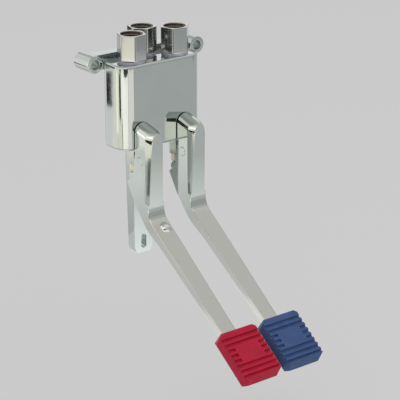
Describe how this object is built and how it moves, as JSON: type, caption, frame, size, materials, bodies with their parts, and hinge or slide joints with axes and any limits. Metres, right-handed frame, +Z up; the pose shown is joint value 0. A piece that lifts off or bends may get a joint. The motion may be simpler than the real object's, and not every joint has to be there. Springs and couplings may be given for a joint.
{
  "type": "double pedal mixing valve",
  "caption": "Wall-hung foot-pedal mixing valve: cast body with screw ears, slotted tongue and hexagon pipe unions; cranked levers with red and blue tread pads lift its sprung valves.",
  "frame": {"origin": "midpoint between the two ear screw holes, on the wall plane; level with the top of the cast body", "axes": "+X to the right (cold side), +Y into the wall, +Z up; the pedals stand out towards -Y"},
  "size_m": [0.1304, 0.2212, 0.2741],
  "materials": {
    "body_chrome": "polished chrome plate",
    "union_chrome": "polished chrome plate",
    "lever_chrome": "chrome plate, polished head and satin bar",
    "nut_chrome": "chrome plate",
    "pin_steel": "ground",
    "spring_steel": "drawn wire",
    "brass": "turned",
    "stem_brass": "turned",
    "fibre": "matte fibre washer",
    "black_rubber": "matte",
    "red_rubber": "matte",
    "blue_rubber": "matte"
  },
  "bodies": {
    "base": {"valve_body": "body_chrome", "hot_pivot_lug": "body_chrome", "cold_pivot_lug": "body_chrome", "hot_union": "union_chrome", "cold_union": "union_chrome", "outlet_union": "union_chrome", "union_washers": "fibre", "inlet_strainers": "brass", "hot_valve_seat": "brass", "cold_valve_seat": "brass", "stem_packings": "black_rubber", "gland_washers": "fibre", "hot_gland_nut": "nut_chrome", "cold_gland_nut": "nut_chrome", "hot_return_spring": "spring_steel", "cold_return_spring": "spring_steel"},
    "hot_pedal": {"hot_lever": "lever_chrome", "hot_pivot_pin": "pin_steel", "hot_pad": "red_rubber", "hot_lever_screw": "nut_chrome"},
    "cold_pedal": {"cold_lever": "lever_chrome", "cold_pivot_pin": "pin_steel", "cold_pad": "blue_rubber"},
    "hot_valve": {"hot_valve_stem": "stem_brass", "hot_seat_washer": "black_rubber"},
    "cold_valve": {"cold_valve_stem": "stem_brass", "cold_seat_washer": "black_rubber"}
  },
  "joints": [
    {"name": "hot_pedal_hinge", "type": "hinge", "parent": "base", "child": "hot_pedal", "pos_m": [-0.0241, -0.055, -0.087], "axis": [1, 0, 0], "range_deg": [0, 15], "stiffness_Nm_per_rad": 2, "springref_deg": -22.92},
    {"name": "hot_valve_lift", "type": "slide", "parent": "base", "child": "hot_valve", "axis": [0, 0, 1], "range_m": [0, 0.0062], "deforming": ["hot_return_spring"]},
    {"name": "cold_pedal_hinge", "type": "hinge", "parent": "base", "child": "cold_pedal", "pos_m": [0.0241, -0.055, -0.087], "axis": [1, 0, 0], "range_deg": [0, 15], "stiffness_Nm_per_rad": 2, "springref_deg": -22.92},
    {"name": "cold_valve_lift", "type": "slide", "parent": "base", "child": "cold_valve", "axis": [0, 0, 1], "range_m": [0, 0.0062], "deforming": ["cold_return_spring"]}
  ],
  "couplings": [
    {"joint": "hot_valve_lift", "follows": "hot_pedal_hinge", "m_per_rad": 0.0236},
    {"joint": "cold_valve_lift", "follows": "cold_pedal_hinge", "m_per_rad": 0.0236}
  ]
}
